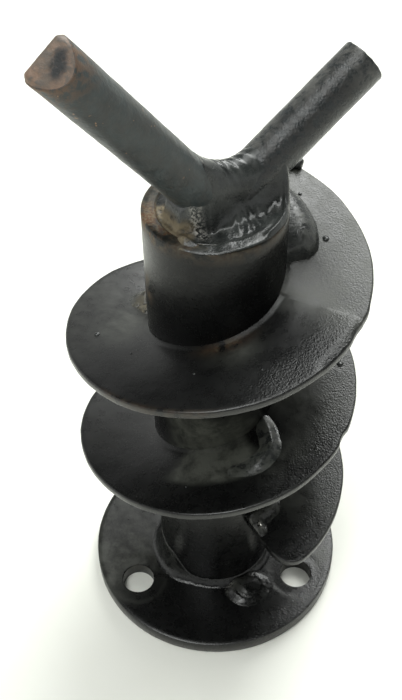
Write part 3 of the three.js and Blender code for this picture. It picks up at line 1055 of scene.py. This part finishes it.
def pool_rise(angle, radius):
    """The pool inside the tube's rim, low enough for the rim to show as a lip."""
    rise = POOL_LEVEL + 2.9 * ramp(radius, 21.5, 25.0) * window(angle, -112, 30, 12)
    rise += 0.9 * scallops(angle, radius)
    return rise + 2.4 * window(angle, -165, -118, 18) * window(radius, 9, 25, 3)


def mouth_weld(x, y):
    """Height of the weld over the tube's mouth, above the rim."""
    turn = math.radians(PLANE_ANGLE)
    along = x * math.cos(turn) + y * math.sin(turn)
    across = -x * math.sin(turn) + y * math.cos(turn)
    radius = math.hypot(x, y)
    angle = math.degrees(math.atan2(y, x))
    blend = 2.5 + 5.5 * window(angle, -70, 10, 20)
    low = smooth_max(pool_rise(angle, radius), sheet_rise(along, abs(across), radius), blend)
    rise = smooth_max(low, web_rise(along, across), 4.0)
    ridges = math.sin(2 * math.pi * (angle + 2.4 * radius) / 17)
    rise += 0.27 * scallops(angle, radius) * ridges
    # A thin run of weld stands on the rim, at the right.
    rise += 1.5 * window(angle, -34, 16, 12) * math.exp(-((radius - 28.4) / 1.0) ** 2)
    if across > 0:
        # Behind the bars the weld is at least a plain mound.
        rise = max(rise, -1.0 + 6.0 * ramp(radius, 26, 6))
    return rise


def mouth_shape():
    """The weld from its underside in the bore, out over the rim and in to the middle."""
    around, inward = 240, 62
    outer = TUBE_RADIUS - 0.15
    angles = [360 * j / around for j in range(around)]
    rings = [[polar(a, BORE_RADIUS - 1.0, PLUG_TOP - 1.0) for a in angles],
             [polar(a, BORE_RADIUS - 1.0, TUBE_TOP - 1.4) for a in angles],
             [polar(a, outer - 2.0, TUBE_TOP - 1.2) for a in angles]]
    for i in range(inward):
        radius = outer * (1 - i / inward) + 0.4 * (i / inward)
        ring = []
        for a in angles:
            flat = polar(a, radius)
            rise = mouth_weld(flat.x, flat.y)
            if radius > BORE_RADIUS:
                rise = rise - 1.2 * ramp(rise, 0.6, -0.4)
            at = polar(a, radius, TUBE_TOP + rise)
            at.z += 0.3 * ripple(at, 8.5, 113) + 0.16 * ripple(at, 3.4, 111) + 0.04 * ripple(at, 1.5, 112)
            if i == 0:
                at.z -= 0.5
            ring.append(at)
        rings.append(ring)
    return loft(rings)


def pool_rust(point):
    """The patch of rusty scale on the pool, round the left bar's foot."""
    patch = window(angle_of(point), -172, -114, 8) * window(radius_of(point), 9, 29, 3)
    return patch * ramp(point.z, TUBE_TOP + 6, TUBE_TOP + 2)


def pool_bare(point):
    return lump(angle_of(point), radius_of(point), -106, 17.8, 9, 1.7)


shape = mouth_shape()
make("prong_weld", shape, weld, ["prong_weld_front", "prong_weld_back", "prong_web_weld"],
     sharp=75, masks=flat_masks(shape[0], dust_and_sheen=lambda p: 0.12, rust=pool_rust, bare=pool_bare))


# ---------------------------------------------------------------- floor, light, camera
FLOOR_SHADES = (0.92, 0.925, 0.855), (0.94, 0.945, 0.88)
FLOOR_HALF = 6.0
FLOOR_GAP = 0.0002

floor_finish = Finish("floor")
speck = floor_finish.noise(60, 3)
shade = floor_finish.mix(floor_finish.ramp(speck, 0.3, 0.7), *FLOOR_SHADES)
floor_finish.done(shade, floor_finish.ramp(speck, 0.3, 0.7, 0.6, 0.7), floor_finish.bump(speck, 0.2),
                  specular=0.2)
floor_mesh = bpy.data.meshes.new("floor")
floor_corners = [(FLOOR_HALF * x, FLOOR_HALF * y, 0) for x, y in ((-1, -1), (1, -1), (1, 1), (-1, 1))]
floor_mesh.from_pydata(floor_corners, [], [(0, 1, 2, 3)])
floor_mesh.materials.append(floor_finish.material)
floor = bpy.data.objects.new("floor", floor_mesh)
floor.location.z = -FLOOR_GAP
scene.collection.objects.link(floor)


def softbox(name, place, size, radiance, colour):
    """A rectangle of light that faces down, centred on a place in metres."""
    light = bpy.data.lights.new(name, "AREA")
    light.shape = "RECTANGLE"
    light.size, light.size_y = size
    light.energy = math.pi * light.size * light.size_y * radiance
    light.color = colour
    lamp = bpy.data.objects.new(name, light)
    lamp.location = place
    scene.collection.objects.link(lamp)
    return lamp


overhead = softbox("overhead", (-0.20, 0.05, 2.2), (0.84, 2.97), 5.1, (0.975, 1.0, 0.98))
overhead.rotation_euler = (0, 0, math.radians(-31.5))
back_window = softbox("back_window", (0.52, 1.48, 1.56), (1.2, 0.9), 10.5, (0.98, 1.0, 0.98))
back_window.rotation_euler = (-back_window.location).to_track_quat("-Z", "Y").to_euler()
front_top = softbox("front_top", (-0.30, -1.22, 2.15), (0.34, 0.6), 14.0, (0.98, 1.0, 0.99))
front_top.rotation_euler = (0, 0, math.radians(40))
left_wall = softbox("left_wall", (-1.7, 0.0, 0.9), (1.2, 2.4), 0.65, (0.98, 1.0, 0.98))
left_wall.rotation_euler = (0, math.radians(-75), 0)

world = bpy.data.worlds.new("surround")
scene.world = world
world.use_nodes = True
sky = world.node_tree
back = sky.nodes["Background"]
where = sky.nodes.new("ShaderNodeTexCoord")
split = sky.nodes.new("ShaderNodeSeparateXYZ")
sky.links.new(where.outputs["Generated"], split.inputs[0])
band = sky.nodes.new("ShaderNodeValToRGB")
sky.links.new(split.outputs["Z"], band.inputs["Fac"])
# Brightness of the room by how steeply a direction points up: [0 level to 1 upright, brightness].
ROOM = ((0.0, 0.75), (0.42, 0.70), (0.56, 0.08), (0.86, 0.08), (1.0, 0.12))
while len(band.color_ramp.elements) < len(ROOM):
    band.color_ramp.elements.new(0.5)
for element, (place, level) in zip(band.color_ramp.elements, ROOM):
    element.position = place
    element.color = (level * 0.98, level, level * 0.98, 1)
sky.links.new(band.outputs["Color"], back.inputs["Color"])
back.inputs["Strength"].default_value = 1.0

scene.view_settings.view_transform = "Standard"
scene.view_settings.look = "None"

CAMERA_PLACE = Vector((0.02610, -0.31863, 0.49796))
CAMERA_AIM = Vector((-0.00655, 0.0, 0.16288))
CAMERA_ROLL = -0.015
CAMERA_LENS = 51.43
camera_data = bpy.data.cameras.new("camera")
camera_data.lens = CAMERA_LENS
camera_data.sensor_width = 36
camera_data.clip_start = 0.01
camera = bpy.data.objects.new("camera", camera_data)
scene.collection.objects.link(camera)
aimed = (CAMERA_AIM - CAMERA_PLACE).to_track_quat("-Z", "Y").to_matrix().to_4x4()
camera.matrix_world = Matrix.Translation(CAMERA_PLACE) @ aimed @ Matrix.Rotation(CAMERA_ROLL, 4, "Z")
scene.camera = camera
